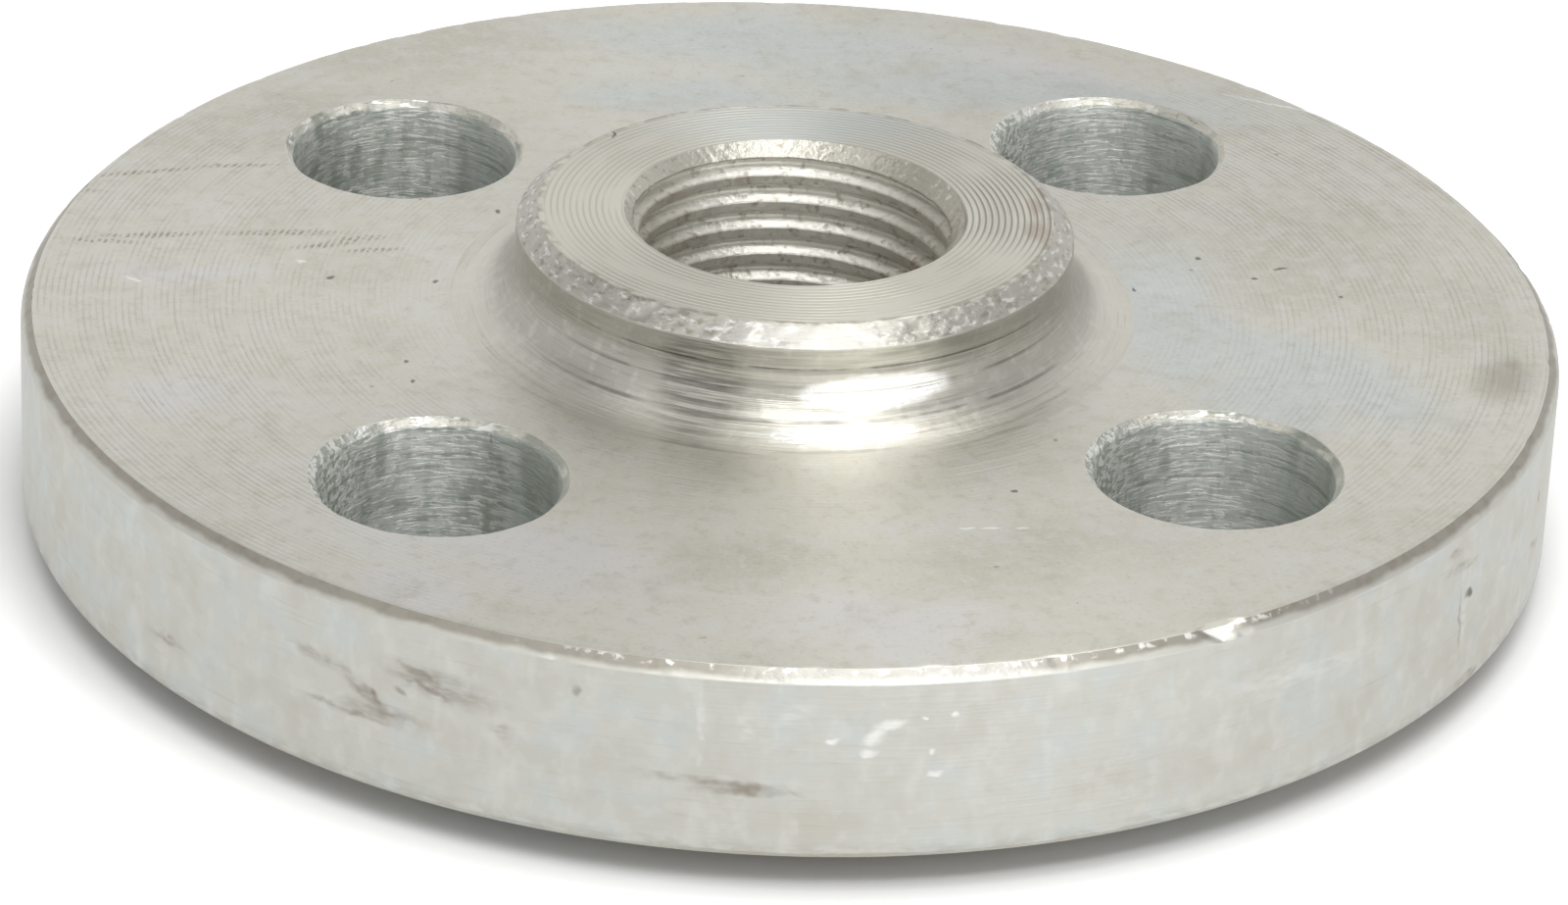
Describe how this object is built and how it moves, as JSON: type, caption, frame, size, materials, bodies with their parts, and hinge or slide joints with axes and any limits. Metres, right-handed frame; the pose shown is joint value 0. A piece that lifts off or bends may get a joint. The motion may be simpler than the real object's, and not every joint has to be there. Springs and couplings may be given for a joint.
{
  "type": "threaded pipe flange",
  "caption": "Round steel pipe flange with a short threaded hub, a raised sealing face and through holes for bolts, zinc plated.",
  "frame": {"origin": "on the bore axis at the raised sealing face, the lowest face of the part", "axes": "+Z along the bore from the sealing face to the hub's end; the bolt holes lie on the diagonals of X and Y"},
  "size_m": [0.095, 0.095, 0.0202],
  "materials": {
    "zinc_plated_steel": "turned steel with a dull zinc plating, lightly stained"
  },
  "bodies": {
    "root": {"flange": "zinc_plated_steel"}
  },
  "joints": []
}
